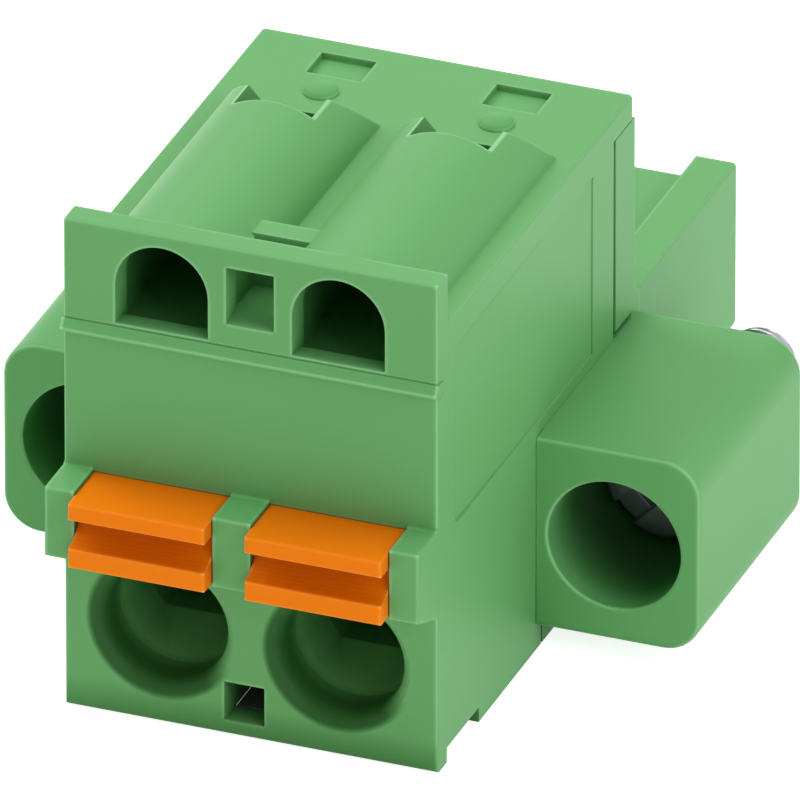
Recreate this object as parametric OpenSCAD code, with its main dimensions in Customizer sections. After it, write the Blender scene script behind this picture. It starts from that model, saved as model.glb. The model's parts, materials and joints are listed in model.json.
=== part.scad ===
// Two-pole pluggable terminal block with push-in clamps and screw flanges.
// X runs across the poles, Y from the conductor side back to the mating side, Z up.
// All shapes are drawn with the front face at y = 0 and the foot of that face at z = 0,
// then moved so that the origin lies in the middle of the footprint, at the height of the base.

/* [Poles] */
// Distance between the two poles
pole_pitch = 7.62; // [7.5:0.02:7.8]
// Height of the conductor entries above the base
entry_z = 4.35; // [4.3:0.05:4.5]
// Radius of the conductor entry at its mouth
entry_r = 2.62; // [2.5:0.01:2.7]
// Rounding of the rim of the conductor entry
entry_rim_r = 0.85; // [0.7:0.05:0.9]
// Width of the throat that guides the conductor into the clamp
throat_w = 4.5; // [4.2:0.1:4.6]

/* [Front housing] */
// Width of the housing
body_w = 16.12; // [16:0.02:16.6]
// Height of the flat top
top_z = 20; // [19.8:0.1:20.2]
// Thickness of the roof behind the bulges
roof_t = 1.1; // [1:0.05:1.2]
// Depth at which the side walls end
side_d = 19.87; // [19.8:0.01:19.9]
// Depth at which the roof ends
roof_d = 22.0; // [21.9:0.05:22.1]
// Height of the front band's top
band_top_z = 22.27; // [22.2:0.01:22.4]
// Height of the groove under the band
band_foot_z = 17.79; // [17.6:0.01:17.8]
// Thickness of the band
band_t = 1.15; // [1.1:0.05:1.2]
// Radius of the arched test openings
arch_r = 2; // [1.9:0.05:2.05]
// Height of the sill of the test openings
arch_sill_z = 17.93; // [17.9:0.01:18]
// Radius of the half-barrel bulges
barrel_r = 3.55; // [3.5:0.01:3.6]
// Depth at which the sloped end of a bulge meets the flat top
barrel_end_y = 15.85; // [15.7:0.05:16]
// How far the ears stand out of the front face
ear_d = 2.1; // [2:0.05:2.2]
// Height of the ears' top
ear_top_z = 11.03; // [11:0.01:11.1]

/* [Levers] */
// Width of a lever
lever_w = 5.9; // [5.8:0.02:5.9]
// How far a lever stands out of the front face
lever_out = 2.95; // [2.8:0.05:3]
// Height of a lever's underside
lever_z = 8; // [8:0.01:8.05]
// Height of a lever's top
lever_top_z = 10.9; // [10.85:0.01:10.9]
// How far a lever can be pushed in
lever_travel = 1.8; // [1.5:0.1:1.8]

/* [Rear housing] */
// Width over both flanges
flange_w = 30.3; // [30.2:0.05:30.6]
// Depth of the flanges' front faces
flange_y = 11.1; // [11:0.05:11.2]
// Depth of the flanges' rear faces
flange_back_y = 22.65; // [22.6:0.05:22.7]
// Height of the flanges' underside
flange_z = 1.05; // [1:0.05:1.1]
// Height of the flanges' top
flange_top_z = 9.72; // [9.7:0.01:9.75]
// Radius of the flanges' outer corners
flange_corner_r = 1.6; // [1.4:0.1:1.8]
// Rounding of the rim of a flange's front face
flange_rim_r = 0.2; // [0.1:0.05:0.25]
// Radius of the bore that takes the screw head
flange_bore_r = 2.87; // [2.85:0.01:2.9]
// Depth of the mating tongue's end
tongue_d = 34.2; // [34:0.1:34.4]
// Height of the tongue's underside
tongue_z = 3.25; // [3.2:0.05:3.3]
// Height of the tongue's side walls
tongue_wall_z = 10.75; // [10.7:0.05:10.8]
// Thickness of the tongue's side walls
tongue_wall_t = 1.82; // [1.7:0.02:1.9]

/* [Flange screws] */
// Distance between the two screws
screw_pitch = 22.86; // [22.8:0.02:22.9]
// Radius of the screw's thread
screw_r = 1.5; // [1.45:0.01:1.5]
// Radius of the screw's head
screw_head_r = 2.68; // [2.6:0.02:2.7]
// Depth of the screw head's face
screw_head_y = 16.8; // [16.7:0.1:17]
// Depth of the screw's tip
screw_tip_y = 28.5; // [27.5:0.1:28.5]

/* [Hidden] */
$fn = 64;

green = [0.31, 0.62, 0.36];
orange = [0.93, 0.42, 0.04];
black = [0.05, 0.05, 0.06];
copper = [0.72, 0.62, 0.5];
steel = [0.6, 0.61, 0.63];

// Cuts reach this far past the surface they open
past = 0.5;
left = -1;
right = 1;
mid_y = (tongue_d - lever_out) / 2;
base_drop = 0.1;
half_w = body_w / 2;
pole_x = pole_pitch / 2;

// Lower front of the front housing
foot_d = 1.1;
recess_h = 0.58;
recess_end_y = 4.69;
seam_y = 11.7;
seam_gap = 0.15;
ear_foot_z = 7.9;
ear_root_z = 7.07;
ear_edge_r = 0.1;
ear_root_r = 0.12;
foot_edge_r = 0.3;
corner_r = 0.12;
edge_r = 0.15;
band_edge_r = 0.15;

// Test openings, bulges and the valley between them
barrel_z = band_top_z - barrel_r;
arch_crown_z = band_top_z - 0.57;
arch_jamb_y = 1.31;
sill_d = 0.85;
tunnel_r = 2.3;
tunnel_crown_z = band_top_z - 0.53;
tunnel_z = 17.4;
tunnel_end_y = 11.6;
probe_w = 2;
probe_y = 8.4;
notch_w = 3.4;
notch_y = 12.3;
window_w = 2.06;
window_z = 18.8;
window_top_z = 21.36;
valley_w = 2.4;
web_y = 3.45;
web_end_y = 4.6;
web_z = 21.2;
web_w = 2.6;

// Latch marks on the flat top
slot_w = 2.36;
slot_y = 19.1;
slot_end_y = 20.9;
slot_deep = 0.3;
nub_y = 17.7;
nub_r = 0.72;
nub_edge_r = 0.22;
nub_top_r = 0.27;
nub_top_z = 0.28;
nub_top_h = 0.07;

// Groove and bead under the band, recessed panel on each side
groove_h = 0.1;
groove_d = 0.04;
bead_h = 0.6;
bead_out = 0.28;
bead_side = 0.07;
bead_slope_h = 0.4;
panel_y = 1.87;
panel_end_y = 17.5;
panel_z = 10.35;
panel_top_z = 18.5;
panel_r = 0.6;
panel_tilt = 0.3;
panel_deep = 0.04;

// Pocket low between the conductor entries, and the plate in its floor
pocket_x = -1.15;
pocket_w = 1.74;
pocket_z = 0.62;
pocket_top_z = 2.37;
pocket_d = 3.2;
insert_y = 1.27;
insert_t = 0.4;
insert_top_z = 1.4;

// Conductor entry behind its mouth
entry_rim_d = 0.75;
entry_d = 2;
funnel_d = 4.25;
throat_h = 2.9;
throat_cut = [0.7, 1.03];

// Clamp chambers
chamber_w = 6;
chamber_y = 6;
chamber_back_y = 16.7;
chamber_z = 1.4;
chamber_top_z = 16.9;
cavity_back_y = 16.6;

// Lever slots and the inner parts of the levers
play = 0.04;
top_play = 0.02;
slot_stop_y = 3.5;
lip_r = 0.15;
lip_t = 0.73;
channel_r = 1.3;
lever_corner_r = 0.15;
stem_w = 3.5;
stem_z = 8.35;
stem_top_z = 10.6;
catch_w = 4.8;
catch_y = chamber_y + 0.12;
catch_t = 1.15;
nose_r = 0.55;
nose_y = 8.4;

// Clamp spring
leaf_t = 0.35;
leaf_w = 4.2;
loop_r = 2.7;
loop_z = 12.6;
leg_knee = [10.2, 9.3];
leg_tip = [12.9, 2.65];
support_foot_z = 4.6;

// Current bar
bar_t = 1;
bar_w = 5.5;
bar_y = 6.3;
riser_y = 15.5;
riser_top_z = 13;
run_z = 6;
run_w = 2.4;
run_end_y = 24.8;
frame_t = 0.5;
frame_top_z = 7.3;
frame_window_w = 4.7;
frame_window_h = 3.8;

// Socket contact and the steel clip over it
socket_t = 0.45;
socket_w = 3.2;
socket_y = 22.8;
socket_bend_y = 25.6;
pinch_y = 31.2;
pinch_gap = 0.7;
socket_end_y = 32.4;
mouth_gap = 1.3;
side_wall_end_y = 26;
clip_t = 0.25;
clip_w = 3.8;
clip_y = 24;
clip_end_y = 26.2;
tongue_tip_y = 31;

// Cavities of the mating tongue
passage_w = 4.6;
cavity_w = 3.9;
cavity_z = 4.75;
cavity_top_z = 8.25;
cavity_end_y = 33;
port_w = 2.4;
port_z = 5.55;
port_top_z = 7.45;
port_lead = 0.6;
key_w = 1.2;
key_d = 0.6;
key_y = 28;
tongue_r = 0.35;
plug_w = 13.9;
plug_y = 16.75;
plug_back_y = 22.3;
plug_top_z = top_z - roof_t - 0.06;
strip_y = side_d + 0.27;
strip_gap = 0.3;
strip_gap_y = 21.9;
foot_out = 0.62;
foot_low_z = 10.25;
foot_high_z = 11.35;
tongue_inset = 0.06;

// Flange bores and screws
flange_gap = 0.01;
axis_z = (flange_z + flange_top_z) / 2;
bore_end_y = 19.4;
screw_hole_r = screw_r + 0.08;
screw_seat_y = bore_end_y - 0.02;
head_edge = 0.3;
shank_end_y = 21.6;
neck_r = 1.15;
thread_y = 23;
slot_drive_w = 1.15;
slot_drive_d = 0.7;
cross_len = 3.8;
cross_d = 1.3;
cross_core_r = 0.85;
cross_core_d = 1.9;

// Points along a round stretch of an outline
function arc(centre, r, from, to, steps = 8) = [
    for (i = [0 : steps])
        let (a = from + (to - from) * i / steps)
            [centre.x + r * cos(a), centre.y + r * sin(a)]
];

// Moves the part from its front face to the middle of its footprint, with its base at zero
module placed() {
    translate([0, -mid_y, base_drop]) children();
}

// Repeats something at both poles
module each_pole() {
    for (side = [left, right])
        translate([side * pole_x, 0, 0]) children();
}

// Spreads a side outline, drawn as depth and height, across a width about x = 0
module across(width) {
    rotate([90, 0, 90])
        linear_extrude(width, center = true) children();
}

// Drives a front outline, drawn as x and height, from one depth to another
module into(from_y, to_y) {
    translate([0, to_y, 0])
        rotate([90, 0, 0])
            linear_extrude(to_y - from_y) children();
}

// Box between two corners
module block(low, high) {
    translate(low) cube(high - low);
}

// Round bar or cone along the depth, at x = 0 and a given height
module round_y(from_y, to_y, z, r, r_end) {
    translate([0, from_y, z])
        rotate([-90, 0, 0])
            cylinder(h = to_y - from_y, r1 = r, r2 = r_end);
}

// Rectangle about the origin with its four corners cut off, by a given width and height
module cut_rectangle(w, h, cut) {
    polygon([
        for (quarter = [[1, -1], [1, 1], [-1, 1], [-1, -1]])
            for (first = [true, false])
                let (near_x = first == (quarter.x * quarter.y < 0))
                    [quarter.x * (w / 2 - (near_x ? cut.x : 0)), quarter.y * (h / 2 - (near_x ? 0 : cut.y))]
    ]);
}

// Rectangle from one corner to another, with some of its corners rounded
module soft_rectangle(low, high, r, corners) {
    difference() {
        translate(low) square(high - low);
        for (corner = corners) {
            at = [corner.x > 0 ? high.x : low.x, corner.y > 0 ? high.y : low.y];
            centre = at - r * corner;
            difference() {
                translate([min(at.x + corner.x, centre.x), min(at.y + corner.y, centre.y)])
                    square([1 + r, 1 + r]);
                translate(centre) circle(r);
            }
        }
    }
}

// Cut that rounds the rim of a bore in a face; the rounding reaches as deep as deep
module rim_cut(face_y, z, r, rim, deep) {
    translate([0, face_y, z])
        rotate([-90, 0, 0])
            rotate_extrude()
                difference() {
                    square([r + rim, deep]);
                    translate([r + rim, deep]) circle(rim);
                }
}

// Straight strip of sheet with round ends, as a side outline
module strip(from, to, t) {
    along = to - from;
    translate(from)
        rotate(atan2(along.y, along.x))
            translate([0, -t / 2]) square([norm(along), t]);
    for (point = [from, to])
        translate(point) circle(t / 2, $fn = 24);
}

// Side outline of the front housing's walls, foot and roof
module front_profile() {
    polygon(concat(
        arc([foot_edge_r, foot_edge_r - base_drop], foot_edge_r, 180, 270, 6),
        [[foot_d, -base_drop], [foot_d, recess_h], [recess_end_y, recess_h]],
        [[recess_end_y, -base_drop], [seam_y, -base_drop], [seam_y, flange_top_z]],
        [[side_d, flange_top_z], [side_d, top_z - roof_t]],
        [[roof_d, top_z - roof_t], [roof_d, top_z], [0, top_z]]
    ));
}

// Walls, foot and roof, with the long outer edges rounded
module hull_of_body() {
    intersection() {
        across(body_w) front_profile();
        into(-past, roof_d + past)
            soft_rectangle([-half_w, -past], [half_w, top_z], edge_r, [[-1, 1], [1, 1]]);
        translate([0, 0, -past])
            linear_extrude(top_z + 2 * past)
                soft_rectangle([-half_w, 0], [half_w, roof_d + past], edge_r, [[-1, -1], [1, -1]]);
    }
}

// Upright band across the front, with rounded upper corners and a rounded front edge
module band() {
    intersection() {
        into(0, band_t)
            soft_rectangle([-half_w, band_foot_z], [half_w, band_top_z], corner_r, [[-1, 1], [1, 1]]);
        across(body_w)
            soft_rectangle([0, band_foot_z], [band_t, band_top_z], band_edge_r, [[-1, 1]]);
        translate([0, 0, band_foot_z])
            linear_extrude(band_top_z)
                soft_rectangle([-half_w, 0], [half_w, band_t], edge_r, [[-1, -1], [1, -1]]);
    }
}

// Bead that runs along the front face just under the band and leans out towards its foot
module bead() {
    top = band_foot_z - groove_h / 2;
    across(body_w + 2 * bead_side)
        polygon([
            [past, top - bead_h], [0, top - bead_h],
            [-bead_out, top - bead_slope_h - 0.08], [-bead_out, top - bead_slope_h],
            [0, top], [past, top]
        ]);
}

// Half-barrel bulge over one clamp, its rear end cut off on a slope of 45 degrees
module barrel() {
    reach = band_top_z + 1 - top_z;
    intersection() {
        round_y(band_t / 2, barrel_end_y + 2, barrel_z, barrel_r, barrel_r);
        across(2 * barrel_r)
            polygon([
                [0, top_z - 1], [0, top_z + reach],
                [barrel_end_y - reach, top_z + reach], [barrel_end_y + 1, top_z - 1]
            ]);
    }
}

// Small bridge between the two bulges, which closes the valley at its back
module web() {
    block([-web_w / 2, web_y, top_z - past], [web_w / 2, web_end_y, web_z]);
}

// Side outline of the ears that flank the levers
module ear_profile() {
    polygon(concat(
        [[past, ear_root_z], [0, ear_root_z], [-ear_d, ear_foot_z]],
        arc([-ear_d + ear_edge_r, ear_top_z - ear_edge_r], ear_edge_r, 180, 90, 5),
        arc([-ear_root_r, ear_top_z + ear_root_r], ear_root_r, -90, 0),
        [[past, ear_top_z + ear_root_r]]
    ));
}

// The two outer ears and the divider between the levers
module ears() {
    slot_half = lever_w / 2 + play;
    outer = half_w - pole_x - slot_half;
    for (side = [left, right])
        translate([side * (half_w - outer / 2), 0, 0])
            across(outer) ear_profile();
    across(2 * (pole_x - slot_half)) ear_profile();
}

// Round buttons on the flat top, one behind each bulge, rising to a small flat in the middle
module nubs() {
    each_pole()
        translate([0, nub_y, top_z])
            rotate_extrude()
                polygon(concat(
                    [[0, -past], [nub_r, -past]],
                    arc([nub_r - nub_edge_r, 0], nub_edge_r, 0, 68, 6),
                    [[nub_top_r + 0.04, nub_top_z]],
                    arc([nub_top_r - nub_top_h, nub_top_z], nub_top_h, 0, 90, 4),
                    [[0, nub_top_z + nub_top_h]]
                ));
}

// Cut with a round crown and a flat floor, about x = 0
module arched_cut(from_y, to_y, r, crown_z, floor_z) {
    centre_z = crown_z - r;
    intersection() {
        round_y(from_y, to_y, centre_z, r, r);
        block([-r - 1, from_y - 1, floor_z], [r + 1, to_y + 1, crown_z + 1]);
    }
    block([-r, from_y, floor_z], [r, to_y, centre_z]);
}

// Arched test opening, the wider tunnel behind it, and the way down for a test probe
module test_tunnel() {
    arched_cut(-past, arch_jamb_y + 0.01, arch_r, arch_crown_z, arch_sill_z);
    arched_cut(arch_jamb_y, tunnel_end_y, tunnel_r, tunnel_crown_z, tunnel_z);
    block([-arch_r, sill_d, tunnel_z], [arch_r, arch_jamb_y + 0.01, arch_sill_z + 0.01]);
    block([-probe_w / 2, probe_y, chamber_top_z - past], [probe_w / 2, probe_y + probe_w, tunnel_z + past]);
}

// Rounded mouth, then a funnel that turns from a circle into the throat's outline
module conductor_entry() {
    rim_cut(0, entry_z, entry_r, entry_rim_r, entry_rim_d);
    round_y(-past, entry_d, entry_z, entry_r, entry_r);
    hull() {
        round_y(entry_d - 0.02, entry_d, entry_z, entry_r - 0.01, entry_r - 0.01, $fn = 32);
        throat(funnel_d, funnel_d + 0.02);
    }
    throat(funnel_d, chamber_y + past);
}

// Straight stretch of the throat
module throat(from_y, to_y) {
    into(from_y, to_y)
        translate([0, entry_z]) cut_rectangle(throat_w, throat_h, throat_cut);
}

// Slot that guides one lever, its stop, and the window for the lever's stem
module lever_slot() {
    half = lever_w / 2 + play;
    stem_half = stem_w / 2 + play;
    end_y = slot_stop_y + lever_travel + 0.05;
    block([-half, -past, lever_z - play], [half, end_y, lever_top_z + top_play]);
    block([-stem_half, 0, stem_z - play], [stem_half, chamber_y + past, stem_top_z + play]);
}

// Window between the test openings and the valley behind the band
module window_and_valley() {
    half = window_w / 2;
    valley_half = valley_w / 2;
    block([-half, -past, window_z], [half, band_t + 0.1, window_top_z]);
    block([-valley_half, band_t, window_z], [valley_half, web_y, top_z + 1]);
}

// Shallow panel on each side, deepest at the front
module side_panels() {
    for (side = [left, right])
        translate([side * (half_w - panel_deep), panel_end_y, 0])
            rotate([0, 0, -side * panel_tilt])
                translate([side * past / 2, -panel_end_y, 0])
                    across(past)
                        union() {
                            translate([panel_y + panel_r, panel_z])
                                square([panel_end_y - panel_y - panel_r, panel_top_z - panel_z]);
                            translate([panel_y, panel_z + panel_r])
                                square([panel_end_y - panel_y, panel_top_z - panel_z - 2 * panel_r]);
                            for (z = [panel_z + panel_r, panel_top_z - panel_r])
                                translate([panel_y + panel_r, z]) circle(panel_r);
                        }
}

module front_housing() placed() color(green) {
    difference() {
        union() {
            hull_of_body();
            band();
            bead();
            each_pole() barrel();
            ears();
            nubs();
        }
        across(body_w + 1)
            translate([-past, band_foot_z - groove_h / 2]) square([past + groove_d, groove_h]);
        window_and_valley();
        side_panels();
        block([pocket_x, -past, pocket_z], [pocket_x + pocket_w, pocket_d, pocket_top_z]);
        block([pocket_x, insert_y, -past], [pocket_x + pocket_w, pocket_d, pocket_z + 0.01]);
        block([pocket_x, pocket_d - 0.01, -past], [pocket_x + pocket_w, pocket_d + insert_t, insert_top_z]);
        block([-plug_w / 2 - 0.05, cavity_back_y, 0], [plug_w / 2 + 0.05, roof_d + past, top_z - roof_t]);
        each_pole() {
            test_tunnel();
            block([-notch_w / 2, notch_y, arch_sill_z], [notch_w / 2, barrel_end_y, band_top_z + 1]);
            conductor_entry();
            lever_slot();
            block([-chamber_w / 2, chamber_y, chamber_z], [chamber_w / 2, chamber_back_y, chamber_top_z]);
            block([-slot_w / 2, slot_y, top_z - slot_deep], [slot_w / 2, slot_end_y, top_z + past]);
        }
    }
    web();
}

// Solid flange with a rounded rim round its front face, out to its two round outer corners
module flange_block(inner_x) {
    outer_x = flange_w / 2;
    r = flange_corner_r;
    rim = flange_rim_r;
    low_z = flange_z + r;
    high_z = flange_top_z - r;
    for (z = [low_z, high_z])
        translate([outer_x - r, flange_y, z])
            rotate([-90, 0, 0])
                rotate_extrude()
                    soft_rectangle([0, 0], [r, flange_back_y - flange_y], rim, [[1, -1]]);
    translate([(inner_x + outer_x - r) / 2, 0, 0])
        across(outer_x - r - inner_x)
            soft_rectangle([flange_y, flange_z], [flange_back_y, flange_top_z], rim, [[-1, -1], [-1, 1]]);
    translate([0, 0, low_z])
        linear_extrude(high_z - low_z)
            soft_rectangle([inner_x, flange_y], [outer_x, flange_back_y], rim, [[1, -1]]);
}

// One flange, on the side that the caller mirrors it to
module flange() {
    difference() {
        union() {
            flange_block(half_w + flange_gap);
            block([half_w - past, seam_y + seam_gap, flange_z], [half_w + past, flange_back_y, flange_top_z]);
        }
        translate([screw_pitch / 2, 0, 0]) {
            round_y(flange_y - past, bore_end_y, axis_z, flange_bore_r, flange_bore_r);
            round_y(bore_end_y - past, flange_back_y + past, axis_z, screw_hole_r, screw_hole_r);
            rim_cut(flange_y, axis_z, flange_bore_r, 0.15, 0.15);
        }
    }
}

// Tongue that enters the header, with its two raised side walls
module tongue() {
    floor_z = flange_top_z;
    outer_half = half_w - tongue_inset;
    inner_half = half_w - tongue_wall_t;
    intersection() {
        across(body_w)
            polygon(concat(
                [[plug_back_y - past, tongue_z]],
                arc([tongue_d - tongue_r, tongue_z + tongue_r], tongue_r, -90, 0),
                [[tongue_d, tongue_wall_z], [plug_back_y - past, tongue_wall_z]]
            ));
        into(plug_back_y - 2 * past, tongue_d + past)
            difference() {
                soft_rectangle(
                    [-outer_half, tongue_z], [outer_half, tongue_wall_z], edge_r,
                    [[-1, -1], [1, -1], [-1, 1], [1, 1]]
                );
                translate([-inner_half, floor_z]) square([2 * inner_half, tongue_wall_z]);
            }
    }
}

// Upper block that fills the back of the front housing, and its side strips, which swell at their foot
module upper_block() {
    rise = (foot_high_z - foot_low_z) / 2;
    turn = 2 * atan(foot_out / (2 * rise));
    r = rise / sin(turn);
    block([-plug_w / 2, plug_y, flange_top_z - past], [plug_w / 2, plug_back_y, plug_top_z]);
    block([-half_w, strip_y, flange_top_z + strip_gap], [half_w, plug_back_y, plug_top_z]);
    across(body_w)
        polygon(concat(
            [[strip_gap_y, flange_top_z - past], [strip_gap_y, foot_high_z]],
            arc([plug_back_y + r, foot_high_z], r, 180, 180 + turn, 6),
            arc([plug_back_y + foot_out - r, foot_low_z], r, turn, 0, 6),
            [[plug_back_y + foot_out, flange_top_z - past]]
        ));
}

// Everything that is hollowed out of the rear housing at one pole
module contact_cavity() {
    block([-chamber_w / 2, 0, chamber_z], [chamber_w / 2, cavity_back_y, flange_top_z + past]);
    block([-passage_w / 2, cavity_back_y - past, cavity_z], [passage_w / 2, plug_back_y, cavity_top_z]);
    block([-cavity_w / 2, plug_back_y - past, cavity_z], [cavity_w / 2, cavity_end_y, cavity_top_z]);
    block([-port_w / 2, cavity_end_y - past, port_z], [port_w / 2, tongue_d + past, port_top_z]);
    for (turn = [0, 180])
        translate([0, tongue_d, (port_z + port_top_z) / 2])
            rotate([0, turn, 0])
                across(port_w)
                    polygon([
                        [-port_lead, (port_top_z - port_z) / 2 - 0.01],
                        [past, (port_top_z - port_z) / 2 - 0.01],
                        [past, (port_top_z - port_z) / 2 + port_lead / 2],
                        [0, (port_top_z - port_z) / 2 + port_lead / 2]
                    ]);
    block([-key_w / 2, key_y, tongue_z - past], [key_w / 2, tongue_d + past, tongue_z + key_d]);
}

module rear_housing() placed() color(green) {
    difference() {
        union() {
            block([-half_w, seam_y + seam_gap, -base_drop], [half_w, plug_back_y + 0.1, flange_top_z]);
            upper_block();
            tongue();
        }
        each_pole() contact_cavity();
    }
    flange();
    mirror([1, 0, 0]) flange();
}

// Black plate in the pocket's floor, with its rear end bent up into the housing
module pocket_insert() placed() color(black) {
    edge = 0.05;
    low_z = pocket_z - insert_t;
    back_y = pocket_d + insert_t;
    translate([pocket_x, 0, 0])
        intersection() {
            translate([pocket_w / 2, 0, 0])
                across(pocket_w)
                    polygon([
                        [insert_y, low_z], [insert_y, pocket_z - edge], [insert_y + edge, pocket_z],
                        [pocket_d, pocket_z], [pocket_d, insert_top_z],
                        [back_y, insert_top_z], [back_y, low_z]
                    ]);
            union() {
                into(0, pocket_d)
                    polygon([
                        [0, 0], [0, pocket_z - edge], [edge, pocket_z], [pocket_w, pocket_z], [pocket_w, 0]
                    ]);
                block([0, pocket_d - 0.01, 0], [pocket_w, back_y, insert_top_z]);
            }
        }
}

// Side outline of a lever's outer part: upper lip, screwdriver channel, lower lip
module lever_profile() {
    front = -lever_out;
    channel_top_z = lever_top_z - lip_t;
    channel_foot_z = channel_top_z - channel_r;
    ridge_y = front + lip_r / 2;
    polygon(concat(
        [[slot_stop_y, lever_z], [slot_stop_y, lever_top_z]],
        arc([front + lip_r, lever_top_z - lip_r], lip_r, 90, 180, 5),
        [[front, channel_top_z + 0.06], [front + 0.06, channel_top_z]],
        arc([ridge_y, channel_top_z], channel_r, 0, -90, 10),
        arc([front + lip_r / 2, channel_foot_z - lip_r / 2], lip_r / 2, 90, 180, 4),
        arc([front + lip_r / 2, lever_z + lip_r / 2], lip_r / 2, 180, 270, 4)
    ));
}

// Lever with the stem that reaches into the clamp chamber
module lever(side) {
    translate([side * pole_x, 0, 0]) {
        intersection() {
            across(lever_w) lever_profile();
            linear_extrude(lever_top_z + past)
                soft_rectangle(
                    [-lever_w / 2, -lever_out], [lever_w / 2, slot_stop_y + past], lever_corner_r,
                    [[-1, -1], [1, -1]]
                );
        }
        block([-stem_w / 2, slot_stop_y - past, stem_z], [stem_w / 2, nose_y, stem_top_z]);
        block([-catch_w / 2, catch_y, stem_z], [catch_w / 2, catch_y + catch_t, stem_top_z]);
        across(stem_w)
            translate([nose_y, (stem_z + stem_top_z) / 2]) circle(nose_r);
    }
}

module lever_left() placed() color(orange) lever(left);
module lever_right() placed() color(orange) lever(right);

// Bent leaf: support leg on the riser, loop over the top, clamping leg down to the bar
module clamp_spring(side) {
    loop_y = riser_y - leaf_t / 2 - loop_r;
    translate([side * pole_x, 0, 0])
        across(leaf_w)
            union() {
                strip([riser_y - leaf_t / 2, support_foot_z], [riser_y - leaf_t / 2, loop_z], leaf_t);
                intersection() {
                    translate([loop_y, loop_z])
                        difference() {
                            circle(loop_r + leaf_t / 2);
                            circle(loop_r - leaf_t / 2);
                        }
                    translate([loop_y - loop_r - 1, loop_z]) square([2 * loop_r + 2, loop_r + 1]);
                }
                strip([loop_y - loop_r, loop_z], leg_knee, leaf_t);
                strip(leg_knee, leg_tip, leaf_t);
            }
}

module clamp_spring_left() placed() color(steel) clamp_spring(left);
module clamp_spring_right() placed() color(steel) clamp_spring(right);

// Thick bar under the conductor, riser for the spring, run back to the socket, frame round the conductor
module current_bar(side) {
    top = chamber_z + bar_t;
    translate([side * pole_x, 0, 0]) {
        block([-bar_w / 2, bar_y, chamber_z], [bar_w / 2, riser_y + bar_t, top]);
        block([-bar_w / 2, riser_y, chamber_z], [bar_w / 2, riser_y + bar_t, riser_top_z]);
        block([-run_w / 2, riser_y, run_z], [run_w / 2, run_end_y, run_z + bar_t]);
        difference() {
            block([-bar_w / 2, bar_y, chamber_z], [bar_w / 2, bar_y + frame_t, frame_top_z]);
            block([-frame_window_w / 2, 0, top], [frame_window_w / 2, chamber_back_y, top + frame_window_h]);
        }
    }
}

module current_bar_left() placed() color(copper) current_bar(left);
module current_bar_right() placed() color(copper) current_bar(right);

// One of the two mirrored leaves of the socket, above the middle height of the pin
module socket_leaf() {
    half = bar_t / 2 + socket_t / 2;
    pinch = pinch_gap / 2 + socket_t / 2;
    mouth = mouth_gap / 2 + socket_t / 2;
    translate([socket_y, bar_t / 2]) square([socket_bend_y - socket_y, socket_t]);
    strip([socket_bend_y, half], [pinch_y, pinch], socket_t);
    strip([pinch_y, pinch], [socket_end_y, mouth], socket_t);
}

// Two spring leaves that grip the header's pin, joined along one side
module socket_contact(side) {
    pin_z = run_z + bar_t / 2;
    wall = bar_t / 2 + socket_t;
    translate([side * pole_x, 0, pin_z]) {
        across(socket_w) {
            socket_leaf();
            mirror([0, 1]) socket_leaf();
        }
        block([-socket_w / 2, socket_y, -wall], [-socket_w / 2 + 0.35, side_wall_end_y - 0.6, wall]);
    }
}

module socket_contact_left() placed() color(copper) socket_contact(left);
module socket_contact_right() placed() color(copper) socket_contact(right);

// Steel sleeve round the socket, with two tongues that press its leaves together
module over_spring(side) {
    wall = bar_t / 2 + socket_t;
    inner_x = clip_w / 2 - clip_t;
    root = [clip_end_y - 0.1, wall + clip_t / 2];
    bend = root + [0.9, 0.1];
    tip = [tongue_tip_y, pinch_gap / 2 + socket_t + clip_t / 2 + 0.06];
    translate([side * pole_x, 0, run_z + bar_t / 2]) {
        difference() {
            block([-clip_w / 2, clip_y, -wall - clip_t], [clip_w / 2, clip_end_y, wall + clip_t]);
            block([-inner_x, clip_y - past, -wall], [inner_x, clip_end_y + past, wall]);
        }
        across(socket_w - 0.6)
            for (flip = [0, 1])
                mirror([0, flip]) {
                    strip(root, bend, clip_t);
                    strip(bend, tip, clip_t);
                }
    }
}

module over_spring_left() placed() color(steel) over_spring(left);
module over_spring_right() placed() color(steel) over_spring(right);

// Captive screw: head with a slotted cross recess, shank in the flange, thin neck, threaded end
module flange_screw(side) {
    translate([side * screw_pitch / 2, 0, axis_z])
        difference() {
            rotate([-90, 0, 0])
                rotate_extrude()
                    polygon([
                        [0, screw_head_y], [screw_head_r - head_edge, screw_head_y],
                        [screw_head_r, screw_head_y + head_edge], [screw_head_r, screw_seat_y],
                        [screw_r, screw_seat_y], [screw_r, shank_end_y], [neck_r, shank_end_y + 0.3],
                        [neck_r, thread_y - 0.3], [screw_r, thread_y],
                        [screw_r, screw_tip_y - 0.35], [neck_r, screw_tip_y], [0, screw_tip_y]
                    ]);
            rotate([0, -45, 0]) {
                half = slot_drive_w / 2;
                block([-screw_head_r - 1, 0, -half], [screw_head_r + 1, screw_head_y + slot_drive_d, half]);
                for (turn = [0, 90])
                    rotate([0, turn, 0])
                        block([-cross_len / 2, 0, -half], [cross_len / 2, screw_head_y + cross_d, half]);
                round_y(screw_head_y - past, screw_head_y + cross_core_d, 0, cross_core_r, cross_core_r / 2);
            }
        }
}

module flange_screw_left() placed() color(steel) flange_screw(left);
module flange_screw_right() placed() color(steel) flange_screw(right);

front_housing();
rear_housing();
pocket_insert();
lever_left();
lever_right();
clamp_spring_left();
clamp_spring_right();
current_bar_left();
current_bar_right();
socket_contact_left();
socket_contact_right();
over_spring_left();
over_spring_right();
flange_screw_left();
flange_screw_right();
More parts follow.
